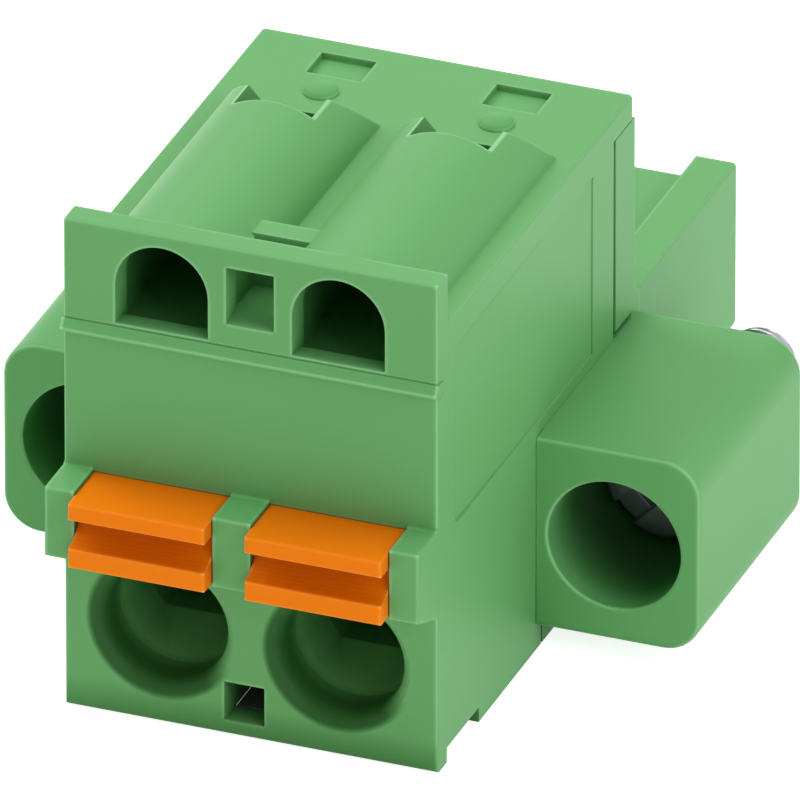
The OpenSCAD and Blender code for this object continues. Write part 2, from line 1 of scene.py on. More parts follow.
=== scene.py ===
# %% [markdown]
# # A pluggable terminal block, dressed for its portrait
# The block is a small green plastic plug, about as long as a thumb joint. Wires go into its two round
# entries, orange levers open the clamps inside, and two captive screws hold it on its header.
# The solids come from the CAD frame. This notebook adds finishes, screws with a wound thread, two domes,
# copies of the springs, light and a camera.

import json
import math

import bmesh
import bpy
from mathutils import Matrix, Vector


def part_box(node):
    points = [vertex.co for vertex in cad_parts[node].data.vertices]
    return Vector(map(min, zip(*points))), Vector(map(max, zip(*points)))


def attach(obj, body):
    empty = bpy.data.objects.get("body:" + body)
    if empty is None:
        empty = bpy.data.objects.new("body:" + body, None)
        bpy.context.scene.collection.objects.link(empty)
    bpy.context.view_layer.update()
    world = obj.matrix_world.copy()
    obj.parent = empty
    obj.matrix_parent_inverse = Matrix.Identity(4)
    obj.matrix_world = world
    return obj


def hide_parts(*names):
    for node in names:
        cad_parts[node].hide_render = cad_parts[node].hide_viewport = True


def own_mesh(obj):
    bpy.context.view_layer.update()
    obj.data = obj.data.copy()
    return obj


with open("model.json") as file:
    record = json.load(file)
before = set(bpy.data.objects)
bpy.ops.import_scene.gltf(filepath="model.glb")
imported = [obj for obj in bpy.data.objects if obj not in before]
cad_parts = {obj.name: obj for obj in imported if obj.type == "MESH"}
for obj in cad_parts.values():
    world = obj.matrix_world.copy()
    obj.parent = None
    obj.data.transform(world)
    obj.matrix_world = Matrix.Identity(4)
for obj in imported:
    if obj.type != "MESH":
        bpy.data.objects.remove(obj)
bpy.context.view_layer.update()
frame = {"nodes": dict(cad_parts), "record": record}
nodes = frame["nodes"]
MM = 0.001
print("nodes:", sorted(nodes))

# %% [markdown]
# ## Where the camera stands
# A catalogue picture of a part this small is taken from far away through a long lens, so parallel
# edges stay parallel. Turning the camera 21 degrees round the part and raising it 29 degrees shows the
# front, the top and the right side at once. We place the camera on a ray from the point that it looks at.

# %% Camera
CAMERA_AZIMUTH = math.radians(21.12)
CAMERA_ELEVATION = math.radians(28.6)
CAMERA_DISTANCE = 1.481
CAMERA_LENS = 1650
LOOKED_AT = Vector((3.014, -6.706, 11.681)) * MM


def spot_on_sphere(azimuth, elevation):
    """Direction from the part to a camera or lamp; azimuth 0 is straight in front of the entries."""
    return Vector((
        math.sin(azimuth) * math.cos(elevation),
        -math.cos(azimuth) * math.cos(elevation),
        math.sin(elevation),
    ))


camera_data = bpy.data.cameras.new("portrait_camera")
camera_data.lens = CAMERA_LENS
camera_data.sensor_width = 36
camera_data.clip_start = 0.1
camera_data.clip_end = 20
camera = bpy.data.objects.new("portrait_camera", camera_data)
bpy.context.scene.collection.objects.link(camera)
toward_camera = spot_on_sphere(CAMERA_AZIMUTH, CAMERA_ELEVATION)
camera.location = LOOKED_AT + toward_camera * CAMERA_DISTANCE
camera.rotation_euler = toward_camera.to_track_quat("Z", "Y").to_euler()
bpy.context.scene.camera = camera
print("camera", [round(v, 3) for v in camera.location], "m, lens", CAMERA_LENS, "mm")

# %% [markdown]
# ## Helpers for materials
# A material is a tree of nodes. These helpers add a node, set its plain values and join sockets, so
# that the recipes below read as short lists. A term in a recipe is either a plain number or the output
# of another node, and feed takes both.

# %% Material helpers
def add_node(tree, kind, **values):
    """Adds a shader node; values set its sockets by name, or its own properties."""
    node = tree.nodes.new(kind)
    for name, value in values.items():
        socket = name.replace("_", " ")
        if socket in node.inputs:
            node.inputs[socket].default_value = value
        else:
            setattr(node, name, value)
    return node


def join(tree, source, target):
    tree.links.new(source, target)


def feed(tree, term, target):
    """Sets a socket to a plain number, or joins another node's output to it."""
    if isinstance(term, (int, float)):
        target.default_value = term
    else:
        join(tree, term, target)


def reckon(tree, operation, *terms, clamp=False):
    """A Math node; returns the output with its result."""
    node = add_node(tree, "ShaderNodeMath", operation=operation, use_clamp=clamp)
    for target, term in zip(node.inputs, terms):
        feed(tree, term, target)
    return node.outputs["Value"]


# %% Ranges, axes and blends
def ramp(tree, value, start=0.0, end=1.0, low=0.0, high=1.0):
    """A Map Range node: low at start, high at end, and held at those levels beyond them."""
    node = tree.nodes.new("ShaderNodeMapRange")
    terms = {"Value": value, "From Min": start, "From Max": end, "To Min": low, "To Max": high}
    for label, term in terms.items():
        feed(tree, term, node.inputs[label])
    return node.outputs["Result"]


def place_axes(tree):
    """The X, Y and Z of the spot in the object's own coordinates, which are metres of the frame."""
    place = add_node(tree, "ShaderNodeTexCoord")
    axes = add_node(tree, "ShaderNodeSeparateXYZ")
    join(tree, place.outputs["Object"], axes.inputs["Vector"])
    return axes.outputs


def normal_axes(tree):
    """The X, Y and Z of the direction that the surface faces."""
    geometry = add_node(tree, "ShaderNodeNewGeometry")
    axes = add_node(tree, "ShaderNodeSeparateXYZ")
    join(tree, geometry.outputs["Normal"], axes.inputs["Vector"])
    return axes.outputs


def blend(tree, factor, first, second):
    """A Mix node for colours; returns the mixed colour."""
    mix = add_node(tree, "ShaderNodeMix", data_type="RGBA")
    join(tree, factor, mix.inputs["Factor"])
    join(tree, first, mix.inputs["A"])
    join(tree, second, mix.inputs["B"])
    return mix.outputs["Result"]


# %% Groups and materials
def new_group(name, inputs, outputs):
    """A node group with named float, colour or vector sockets, and its two end nodes."""
    group = bpy.data.node_groups.new(name, "ShaderNodeTree")
    for label, kind, default in inputs:
        socket = group.interface.new_socket(label, in_out="INPUT", socket_type=kind)
        socket.default_value = default
    for label, kind in outputs:
        group.interface.new_socket(label, in_out="OUTPUT", socket_type=kind)
    return group, group.nodes.new("NodeGroupInput"), group.nodes.new("NodeGroupOutput")


def place_group(tree, group, **values):
    node = tree.nodes.new("ShaderNodeGroup")
    node.node_tree = group
    for name, value in values.items():
        node.inputs[name.replace("_", " ")].default_value = value
    return node


def new_material(name):
    """An empty material with its Principled shader wired to the output."""
    material = bpy.data.materials.new(name)
    material.use_nodes = True
    tree = material.node_tree
    tree.nodes.clear()
    output = tree.nodes.new("ShaderNodeOutputMaterial")
    shader = tree.nodes.new("ShaderNodeBsdfPrincipled")
    join(tree, shader.outputs["BSDF"], output.inputs["Surface"])
    return material, tree, shader


def dress(node_names, material):
    """Gives CAD nodes a finish through their material slots."""
    for name in node_names:
        slots = nodes[name].data.materials
        slots.clear()
        slots.append(material)
    print(material.name, "on", ", ".join(node_names))


FLOAT, COLOUR, VECTOR = "NodeSocketFloat", "NodeSocketColor", "NodeSocketVector"

# %% [markdown]
# ## Shared effect 1: softened edges
# No moulded edge is perfectly sharp. The Bevel node bends the surface normal near an edge as a small radius
# would.
# The outer edges also get painted highlights: thin pale lines in the colour, where a small round would
# catch the light. For these lines we look from the surface into the plastic: just behind an outer edge,
# short rays soon come out again on the other side. Ambient occlusion with Inside switched on measures
# exactly that. The painted highlights are weaker on flat faces than on rounded ones, and faintest on the
# sides.

# %% Soft edge group
NOT_FLAT, FLAT = 0.85, 0.97


def build_soft_edge():
    group, source, sink = new_group(
        "soft_edge",
        [("Radius", FLOAT, 0.1 * MM), ("Line Width", FLOAT, 0.17 * MM), ("Mask Gain", FLOAT, 2.2),
         ("Threshold", FLOAT, 0.1), ("On Side Faces", FLOAT, 0.15), ("On Front Faces", FLOAT, 0.5),
         ("On Top Faces", FLOAT, 0.4)],
        [("Normal", VECTOR), ("Edge Mask", FLOAT)],
    )
    bevel = add_node(group, "ShaderNodeBevel", samples=6)
    inward = add_node(group, "ShaderNodeAmbientOcclusion", samples=8, inside=True, only_local=True)
    join(group, source.outputs["Radius"], bevel.inputs["Radius"])
    join(group, source.outputs["Line Width"], inward.inputs["Distance"])
    # painted highlight: the mask of the pale lines along the outer edges
    near = reckon(group, "SUBTRACT", 1.0, inward.outputs["AO"])
    line = reckon(group, "SUBTRACT", near, source.outputs["Threshold"])
    mask = reckon(group, "MULTIPLY", line, source.outputs["Mask Gain"], clamp=True)
    facing = normal_axes(group)
    for axis, share in (("X", "On Side Faces"), ("Y", "On Front Faces"), ("Z", "On Top Faces")):
        squareness = reckon(group, "ABSOLUTE", facing[axis])
        kept = ramp(group, squareness, NOT_FLAT, FLAT, 1.0, source.outputs[share])
        mask = reckon(group, "MULTIPLY", mask, kept)
    join(group, bevel.outputs["Normal"], sink.inputs["Normal"])
    join(group, mask, sink.inputs["Edge Mask"])
    return group


soft_edge = build_soft_edge()
print(soft_edge.name, "has", len(soft_edge.nodes), "nodes")

# %% [markdown]
# ## Shared effect 2: hollows
# Light loses strength each time it bounces inside a deep bore, so the colour is painted darker the less
# open sky a spot can see: painted shade in the hollows. Ambient occlusion over several millimetres
# measures that openness, and a Map Range turns it into a factor for the colour. The painted edge
# highlights would catch no light inside a hollow, so a second Map Range fades them there.

# %% Hollow group
NO_LINES_BELOW, FULL_LINES_ABOVE = 0.3, 0.65


def build_hollow():
    group, source, sink = new_group(
        "hollow",
        [("Reach", FLOAT, 8 * MM), ("Closed Below", FLOAT, 0.1), ("Open Above", FLOAT, 0.42),
         ("Deepest Shade", FLOAT, 0.65)],
        [("Shade", FLOAT), ("Openness", FLOAT)],
    )
    around = add_node(group, "ShaderNodeAmbientOcclusion", samples=6)
    join(group, source.outputs["Reach"], around.inputs["Distance"])
    # painted shade: a colour factor that falls with the openness
    shade = ramp(
        group, around.outputs["AO"], source.outputs["Closed Below"], source.outputs["Open Above"],
        source.outputs["Deepest Shade"], 1.0)
    # fades the painted edge highlights in closed hollows
    openness = ramp(group, around.outputs["AO"], NO_LINES_BELOW, FULL_LINES_ABOVE)
    join(group, shade, sink.inputs["Shade"])
    join(group, openness, sink.inputs["Openness"])
    return group


hollow = build_hollow()
print(hollow.name, "has", len(hollow.nodes), "nodes")

# %% [markdown]
# ### Painted shade in the bores
# The rounded rim of each wire entry is painted darker at its left and its foot, and the flange bores are
# painted darker with depth: painted shade. One group serves both: the distance from a bore's axis picks
# the ring, the depth behind the front fades it in or out, and Lean keeps the upper right unshaded. The
# axes and depths come from the mounts in the imported record and from the screws.

# %% Places of the bores
mounts = {mount["name"]: mount for mount in frame["record"]["mounts"]}
ENTRY_X, ENTRY_Y, ENTRY_Z = mounts["conductor_entry_right"]["pos_m"]
BORE_R = mounts["conductor_entry_right"]["dims"]["r_mm"] * MM
SCREW_X = mounts["flange_screw_right_end"]["pos_m"][0]
HEAD_LOW, SCREW_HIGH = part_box("flange_screw_right")
SCREW_Z = (HEAD_LOW.z + SCREW_HIGH.z) / 2
print("entries at x", round(ENTRY_X / MM, 2), "z", round(ENTRY_Z / MM, 2), "mm")
print("entry radius", round(BORE_R / MM, 2), "mm")
print("flange bores at x", round(SCREW_X / MM, 2), "z", round(SCREW_Z / MM, 2), "mm")

# %% Painted bore shade group
LEFT_SHARE, FOOT_SHARE = -0.8, -0.6
UNSHADED_BELOW, SHADED_ABOVE = -0.5, -0.05


def build_painted_bore_shade():
    group, source, sink = new_group(
        "painted_bore_shade",
        [("Axis X", FLOAT, ENTRY_X), ("Axis Z", FLOAT, ENTRY_Z), ("Outer Radius", FLOAT, 3 * MM),
         ("Inner Radius", FLOAT, 2.9 * MM), ("Clean At", FLOAT, 0.0), ("Dark At", FLOAT, 1 * MM),
         ("Lean", FLOAT, 0.0), ("Deepest Shade", FLOAT, 0.3)],
        [("Shade", FLOAT)],
    )
    axes = place_axes(group)
    axis_x = reckon(group, "MULTIPLY", reckon(group, "SIGN", axes["X"]), source.outputs["Axis X"])
    across = reckon(group, "SUBTRACT", axes["X"], axis_x)
    upward = reckon(group, "SUBTRACT", axes["Z"], source.outputs["Axis Z"])
    across_squared = reckon(group, "MULTIPLY", across, across)
    distance = reckon(group, "SQRT", reckon(group, "MULTIPLY_ADD", upward, upward, across_squared))
    ring = ramp(group, distance, source.outputs["Outer Radius"], source.outputs["Inner Radius"])
    depth = ramp(group, axes["Y"], source.outputs["Clean At"], source.outputs["Dark At"])
    footward = reckon(group, "MULTIPLY", upward, FOOT_SHARE)
    leaning = reckon(group, "DIVIDE", reckon(group, "MULTIPLY_ADD", across, LEFT_SHARE, footward), distance)
    unshaded_side = reckon(group, "SUBTRACT", 1.0, ramp(group, leaning, UNSHADED_BELOW, SHADED_ABOVE))
    kept = reckon(group, "SUBTRACT", 1.0, reckon(group, "MULTIPLY", unshaded_side, source.outputs["Lean"]))
    # painted shade: ring, depth and lean set how much darker the colour is painted
    darkening = reckon(group, "MULTIPLY", reckon(group, "MULTIPLY", ring, depth), kept)
    shade = ramp(group, darkening, low=1.0, high=source.outputs["Deepest Shade"])
    join(group, shade, sink.inputs["Shade"])
    return group


painted_bore_shade = build_painted_bore_shade()
print(painted_bore_shade.name, "has", len(painted_bore_shade.nodes), "nodes")

# %% [markdown]
# ### Painted highlights on the flange rounds
# The flanges stick out furthest, and the rounded edges of their fronts get painted highlights: pale
# lines in the colour where the round catches the light. On such a round the normal points half forward,
# and the distance from the middle plane picks the flanges.

# %% Flange round highlight group
FRONT_FACE, FRONT_END, SIDE_END, SIDE_FACE = -0.97, -0.8, -0.55, -0.3


def build_flange_round_highlight():
    group, source, sink = new_group(
        "flange_round_highlight", [("Begins At", FLOAT, 8 * MM), ("Strength", FLOAT, 0.5)], [("Edge Mask", FLOAT)])
    forward = normal_axes(group)["Y"]
    off_front = ramp(group, forward, FRONT_FACE, FRONT_END)
    off_side = ramp(group, forward, SIDE_FACE, SIDE_END)
    sideways = reckon(group, "ABSOLUTE", place_axes(group)["X"])
    on_flange = reckon(group, "GREATER_THAN", sideways, source.outputs["Begins At"])
    strength = reckon(group, "MULTIPLY", on_flange, source.outputs["Strength"])
    rounded = reckon(group, "MULTIPLY", off_front, off_side)
    # painted highlight: the pale line on each flange's front round
    join(group, reckon(group, "MULTIPLY", rounded, strength), sink.inputs["Edge Mask"])
    return group


flange_round_highlight = build_flange_round_highlight()
print(flange_round_highlight.name, "has", len(flange_round_highlight.nodes), "nodes")

# %% [markdown]
# ### Foot of the front
# The front face is painted darker over its last millimetre and a half above the table: painted shade
# near the floor. The mask takes the height from the object's coordinates, and the normal keeps it to
# the face that looks forward.

# %% Foot shade group
FACES_AWAY, FACES_FORWARD = -0.3, -0.7


def build_foot_shade():
    group, source, sink = new_group(
        "foot_shade", [("Clean Above", FLOAT, 1.5 * MM), ("Deepest Shade", FLOAT, 0.6)], [("Shade", FLOAT)])
    low_down = ramp(group, place_axes(group)["Z"], 0.0, source.outputs["Clean Above"], 1.0, 0.0)
    forward = ramp(group, normal_axes(group)["Y"], FACES_AWAY, FACES_FORWARD)
    near_foot = reckon(group, "MULTIPLY", low_down, forward)
    join(group, ramp(group, near_foot, low=1.0, high=source.outputs["Deepest Shade"]), sink.inputs["Shade"])
    return group


foot_shade = build_foot_shade()
print(foot_shade.name, "has", len(foot_shade.nodes), "nodes")

# %% [markdown]
# ## Shared effect 3: the skin of moulded plastic
# Nylon filled with flame retardant comes out of the tool with a silky, slightly uneven skin: broad
# faint clouds in colour, and a fine eroded grain that breaks up reflections. Two noise textures make
# both. Object coordinates keep the grain at its real size on every piece. The group also mixes in the
# painted edge highlights and applies the painted shade. Light that bounces between coloured walls grows
# darker and more saturated, so the painted shade works as a gamma as well as a factor.

# %% Moulded skin group
CLOUDS_PER_METRE = 140.0
GRAIN_SWING = 0.05
DARKEST_GAMMA, DARKEST_FACTOR = 1.5, 0.3


def uneven(tree, noise, roughness, swing):
    """The roughness, raised and lowered by up to swing as the noise goes."""
    return reckon(tree, "ADD", ramp(tree, noise, low=-swing, high=swing), roughness)


def build_moulded_skin():
    group, source, sink = new_group(
        "moulded_skin",
        [("Colour", COLOUR, (0.2, 0.5, 0.2, 1)), ("Cloud Colour", COLOUR, (0.18, 0.48, 0.18, 1)),
         ("Edge Colour", COLOUR, (0.3, 0.6, 0.3, 1)), ("Edge Mask", FLOAT, 0.0), ("Shade", FLOAT, 1.0),
         ("Roughness", FLOAT, 0.45), ("Grain per Metre", FLOAT, 9000.0)],
        [("Colour", COLOUR), ("Roughness", FLOAT), ("Height", FLOAT)],
    )
    place = add_node(group, "ShaderNodeTexCoord")
    clouds = add_node(group, "ShaderNodeTexNoise", Scale=CLOUDS_PER_METRE, Detail=2.0)
    grain = add_node(group, "ShaderNodeTexNoise", Detail=3.0, Roughness=0.6)
    join(group, place.outputs["Object"], clouds.inputs["Vector"])
    join(group, place.outputs["Object"], grain.inputs["Vector"])
    join(group, source.outputs["Grain per Metre"], grain.inputs["Scale"])
    tint = blend(group, clouds.outputs["Fac"], source.outputs["Colour"], source.outputs["Cloud Colour"])
    # painted highlight: the edge colour is mixed in along the edge mask
    lined = blend(group, source.outputs["Edge Mask"], tint, source.outputs["Edge Colour"])
    # painted shade: a gamma that deepens the colour, then a factor that darkens it
    deepened = add_node(group, "ShaderNodeGamma")
    join(group, lined, deepened.inputs["Color"])
    join(group, ramp(group, source.outputs["Shade"], low=DARKEST_GAMMA), deepened.inputs["Gamma"])
    shaded = add_node(group, "ShaderNodeVectorMath", operation="SCALE")
    join(group, deepened.outputs["Color"], shaded.inputs[0])
    join(group, ramp(group, source.outputs["Shade"], low=DARKEST_FACTOR), shaded.inputs["Scale"])
    rough = uneven(group, grain.outputs["Fac"], source.outputs["Roughness"], GRAIN_SWING)
    join(group, shaded.outputs["Vector"], sink.inputs["Colour"])
    join(group, rough, sink.inputs["Roughness"])
    join(group, grain.outputs["Fac"], sink.inputs["Height"])
    return group


moulded_skin = build_moulded_skin()
print(moulded_skin.name, "has", len(moulded_skin.nodes), "nodes")

# %% [markdown]
# ## Plastics
# The housing is green, the levers are orange and the thin plate in the pocket is black. All three are
# the same kind of nylon, so one function builds them from the shared groups and three colours each.
# Only the green housing has bores and a foot, so it alone gets their painted shade, and painted highlights
# on its flange rounds.

# %% Painted shade of the green housing
def add_painted_shade(tree):
    """The painted shade of the entry rims, and the painted shade of the flange bores and the foot together.
    """
    rims = place_group(
        tree, painted_bore_shade, Outer_Radius=BORE_R + 0.72 * MM, Inner_Radius=BORE_R + 0.48 * MM,
        Clean_At=ENTRY_Y + 0.9 * MM, Dark_At=ENTRY_Y - 0.1 * MM, Lean=1.0, Deepest_Shade=0.18)
    bores = place_group(
        tree, painted_bore_shade, Axis_X=SCREW_X, Axis_Z=SCREW_Z, Clean_At=HEAD_LOW.y - 5 * MM,
        Dark_At=HEAD_LOW.y - 2.5 * MM, Deepest_Shade=0.62)
    foot = place_group(tree, foot_shade)
    shade = reckon(tree, "MULTIPLY", bores.outputs["Shade"], foot.outputs["Shade"])
    return rims.outputs["Shade"], shade


# %% Plastic recipe
def build_plastic(
        name, colour, cloud, edge, roughness, gloss, line_width, line_gain, deepest, open_above,
        fade_in_hollows=True, housing_shade_and_highlights=False, on_front=0.5, on_top=0.4):
    material, tree, shader = new_material(name)
    edges = place_group(
        tree, soft_edge, Radius=0.12 * MM, Line_Width=line_width, Mask_Gain=line_gain,
        On_Front_Faces=on_front, On_Top_Faces=on_top)
    depth = place_group(tree, hollow, Deepest_Shade=deepest, Open_Above=open_above)
    skin = place_group(
        tree, moulded_skin, Colour=(*colour, 1), Cloud_Colour=(*cloud, 1), Edge_Colour=(*edge, 1),
        Roughness=roughness,
    )
    bump = add_node(tree, "ShaderNodeBump", Strength=0.12, Distance=0.01 * MM)
    shade = depth.outputs["Shade"]
    lines = edges.outputs["Edge Mask"]
    # painted edge highlights fade in closed hollows
    if fade_in_hollows:
        lines = reckon(tree, "MULTIPLY", lines, depth.outputs["Openness"])
    # painted shade of the entry rims, flange bores and foot; the rims lose their painted highlights and the
    # flange rounds gain one
    if housing_shade_and_highlights:
        rim_shade, other_shade = add_painted_shade(tree)
        lines = reckon(tree, "MULTIPLY", lines, rim_shade)
        lines = reckon(tree, "MAXIMUM", lines, place_group(tree, flange_round_highlight).outputs["Edge Mask"])
        shade = reckon(tree, "MULTIPLY", shade, reckon(tree, "MULTIPLY", rim_shade, other_shade))
    join(tree, lines, skin.inputs["Edge Mask"])
    join(tree, shade, skin.inputs["Shade"])
    join(tree, edges.outputs["Normal"], bump.inputs["Normal"])
    join(tree, skin.outputs["Height"], bump.inputs["Height"])
    join(tree, skin.outputs["Colour"], shader.inputs["Base Color"])
    join(tree, skin.outputs["Roughness"], shader.inputs["Roughness"])
    join(tree, bump.outputs["Normal"], shader.inputs["Normal"])
    shader.inputs["IOR"].default_value = 1.5
    shader.inputs["Specular IOR Level"].default_value = gloss
    return material


# %% Plastic finishes
# edge is the colour of the painted edge highlights; deepest and open_above set the painted shade of hollows
green_nylon = build_plastic(
    "green_nylon", colour=(0.136, 0.388, 0.134), cloud=(0.126, 0.372, 0.124), edge=(0.3, 0.62, 0.3),
    roughness=0.46, gloss=0.12, line_width=0.2 * MM, line_gain=3.8, deepest=0.55, open_above=0.38,
    housing_shade_and_highlights=True, on_front=0.6)
orange_nylon = build_plastic(
    "orange_nylon", colour=(0.88, 0.215, 0.004), cloud=(0.84, 0.2, 0.003), edge=(1.0, 0.44, 0.1),
    roughness=0.42, gloss=0.05, line_width=0.14 * MM, line_gain=2.4, deepest=0.2, open_above=0.58)
black_nylon = build_plastic(
    "black_nylon", colour=(0.13, 0.125, 0.135), cloud=(0.12, 0.115, 0.125), edge=(0.6, 0.62, 0.6),
    roughness=0.4, gloss=0.12, line_width=0.06 * MM, line_gain=2.4, deepest=1.0, open_above=0.42,
    fade_in_hollows=False, on_front=1.0, on_top=0.6)
dress(["front_housing", "rear_housing"], green_nylon)
dress(["lever_left", "lever_right"], orange_nylon)
dress(["pocket_insert"], black_nylon)

# %% [markdown]
# ## Metals
# The springs are bright strip steel, the conductors are copper under a dull coat of tin, and the screws
# are steel with a thin zinc plating. A stretched noise gives strip metal its rolling marks.

# %% Rolled metal group
ROLLING_SWING = 0.1


def build_rolled_metal():
    group, source, sink = new_group(
        "rolled_metal",
        [("Colour", COLOUR, (0.6, 0.6, 0.6, 1)), ("Dull Colour", COLOUR, (0.5, 0.5, 0.5, 1)),
         ("Roughness", FLOAT, 0.3), ("Stretch", VECTOR, (9000.0, 600.0, 600.0))],
        [("Colour", COLOUR), ("Roughness", FLOAT), ("Height", FLOAT)],
    )
    place = add_node(group, "ShaderNodeTexCoord")
    stretch = add_node(group, "ShaderNodeVectorMath", operation="MULTIPLY")
    marks = add_node(group, "ShaderNodeTexNoise", Scale=1.0, Detail=3.0)
    join(group, place.outputs["Object"], stretch.inputs[0])
    join(group, source.outputs["Stretch"], stretch.inputs[1])
    join(group, stretch.outputs["Vector"], marks.inputs["Vector"])
    tint = blend(group, marks.outputs["Fac"], source.outputs["Colour"], source.outputs["Dull Colour"])
    rough = uneven(group, marks.outputs["Fac"], source.outputs["Roughness"], ROLLING_SWING)
    join(group, tint, sink.inputs["Colour"])
    join(group, rough, sink.inputs["Roughness"])
    join(group, marks.outputs["Fac"], sink.inputs["Height"])
    return group


rolled_metal = build_rolled_metal()
print(rolled_metal.name, "has", len(rolled_metal.nodes), "nodes")


# %% Metal recipe
def build_metal(name, colour, dull, roughness, stretch):
    material, tree, shader = new_material(name)
    edges = place_group(tree, soft_edge, Radius=0.04 * MM)
    marks = place_group(
        tree, rolled_metal, Colour=(*colour, 1), Dull_Colour=(*dull, 1), Roughness=roughness,
        Stretch=stretch,
    )
    bump = add_node(tree, "ShaderNodeBump", Strength=0.1, Distance=0.005 * MM)
    join(tree, edges.outputs["Normal"], bump.inputs["Normal"])
    join(tree, marks.outputs["Height"], bump.inputs["Height"])
    join(tree, marks.outputs["Colour"], shader.inputs["Base Color"])
    join(tree, marks.outputs["Roughness"], shader.inputs["Roughness"])
    join(tree, bump.outputs["Normal"], shader.inputs["Normal"])
    shader.inputs["Metallic"].default_value = 1
    return material


# %% Metal finishes
spring_steel = build_metal(
    "spring_steel", colour=(0.56, 0.57, 0.6), dull=(0.46, 0.47, 0.5), roughness=0.3,
    stretch=(600, 9000, 9000))
tinned_copper = build_metal(
    "tinned_copper", colour=(0.66, 0.63, 0.58), dull=(0.56, 0.53, 0.48), roughness=0.38,
    stretch=(900, 5000, 900))
zinc_steel = build_metal(
    "zinc_steel", colour=(0.44, 0.45, 0.48), dull=(0.3, 0.31, 0.34), roughness=0.32,
    stretch=(4000, 4000, 4000))
dress(["clamp_spring_left", "clamp_spring_right", "over_spring_left", "over_spring_right"], spring_steel)
dress(["current_bar_left", "current_bar_right"], tinned_copper)
dress(["socket_contact_left", "socket_contact_right"], tinned_copper)

# %% [markdown]
# ## Captive screws with a real thread
# The CAD screw has a smooth shaft, which is enough for physics. A metric thread of 3 mm has a ridge
# every half millimetre, and it shows at the rear of the block. A thread is one ridge wound along a
# helix, so we lay a strip of points along that helix and join each turn to the next. Its outline is a
# triangle wave, stretched and cut flat at root and crest. The head and neck are turned on a lathe, and
# the recess is cut with a boolean.

# %% Screw measures
HEAD_R = (SCREW_HIGH.z - HEAD_LOW.z) / 2
HEAD_Y, TIP_Y = HEAD_LOW.y, SCREW_HIGH.y
SEAT_Y = HEAD_Y + 2.58 * MM
SHANK_END_Y = HEAD_Y + 4.8 * MM
THREAD_Y = HEAD_Y + 6.2 * MM
THREAD_R, ROOT_R, NECK_R = 1.5 * MM, 1.2 * MM, 1.15 * MM
THREAD_PITCH = 0.5 * MM
print("screw from", round(HEAD_Y / MM, 2), "to", round(TIP_Y / MM, 2), "mm")
print("head radius", round(HEAD_R / MM, 2), "mm")


# %% Lathe
def spun(radius, angle, y):
    """The point at this radius and angle about the Y axis, y along it."""
    return (radius * math.cos(angle), y, radius * math.sin(angle))


def full_turn(steps):
    """The angles of a full turn in equal steps."""
    return [2 * math.pi * i / steps for i in range(steps)]


def wall(bm, near, far):
    """Joins two closed rows of points with faces."""
    for i in range(len(near)):
        j = (i + 1) % len(near)
        bm.faces.new((near[i], near[j], far[j], far[i]))


def turned(bm, profile, steps):
    """Spins (y, radius) points about the Y axis and closes both ends."""
    rings = []
    for y, radius in profile:
        rings.append([bm.verts.new(spun(radius, angle, y)) for angle in full_turn(steps)])
    for near, far in zip(rings, rings[1:]):
        wall(bm, near, far)
    bm.faces.new(reversed(rings[0]))
    bm.faces.new(rings[-1])


# %% Outline of the thread
FLANK_STRETCH, ROOT_CUT = 1.35, 0.1
RUN_IN = 0.5 * MM
TIP_TAPER = 0.3 * MM


def thread_radius(y, share):
    """Radius at a depth y, for a point at a share of the pitch from one root to the next."""
    ridge = max(0.0, min(1.0, FLANK_STRETCH * (1 - abs(2 * share - 1)) - ROOT_CUT))
    radius = ROOT_R + (THREAD_R - ROOT_R) * ridge
    run_in = ROOT_R + max(0.0, y - THREAD_Y) / RUN_IN * (THREAD_R - ROOT_R)
    tip = NECK_R + max(0.0, TIP_Y - y) * (THREAD_R - NECK_R) / TIP_TAPER
    return min(radius, run_in, tip)


# %% Winding the thread
def threaded(bm, steps, points_per_pitch):
    """Winds the thread's outline along its helix from the neck to the tip; both ends stay open."""
    turns = math.ceil((TIP_Y - THREAD_Y) / THREAD_PITCH) + 1
    grid = []
    for k in range(turns * steps + 1):
        angle = 2 * math.pi * k / steps
        column = []
        for p in range(points_per_pitch):
            share = p / points_per_pitch
            y = THREAD_Y - THREAD_PITCH + (k / steps + share) * THREAD_PITCH
            y = min(max(y, THREAD_Y), TIP_Y)
            column.append(bm.verts.new(spun(thread_radius(y, share), angle, y)))
        grid.append(column)
    for k in range(turns * steps):
        for p in range(points_per_pitch):
            if p + 1 < points_per_pitch:
                corners = (grid[k][p], grid[k + 1][p], grid[k + 1][p + 1], grid[k][p + 1])
            elif k + steps + 1 <= turns * steps:
                corners = (grid[k][p], grid[k + 1][p], grid[k + 1 + steps][0], grid[k + steps][0])
            else:
                continue
            bm.faces.new(corners)


# %% Pieces from meshes
TOUCHING = 0.001 * MM


def piece_from(name, bm):
    """Makes an object of a finished mesh, with its faces turned outwards."""
    bmesh.ops.recalc_face_normals(bm, faces=bm.faces)
    mesh = bpy.data.meshes.new(name)
    bm.to_mesh(mesh)
    bm.free()
    piece = bpy.data.objects.new(name, mesh)
    bpy.context.scene.collection.objects.link(piece)
    return piece


def mesh_from(name, build):
    """Runs a build function on a new mesh, merges the points that touch and closes its open ends."""
    bm = bmesh.new()
    build(bm)
    bmesh.ops.remove_doubles(bm, verts=bm.verts, dist=TOUCHING)
    bmesh.ops.dissolve_degenerate(bm, edges=bm.edges, dist=TOUCHING)
    bmesh.ops.holes_fill(bm, edges=[e for e in bm.edges if e.is_boundary], sides=0)
    return piece_from(name, bm)


def shade_smooth(mesh, degrees):
    """Smooth shading, broken where faces meet at more than this angle."""
    mesh.polygons.foreach_set("use_smooth", [True] * len(mesh.polygons))
    mesh.set_sharp_from_angle(angle=math.radians(degrees))


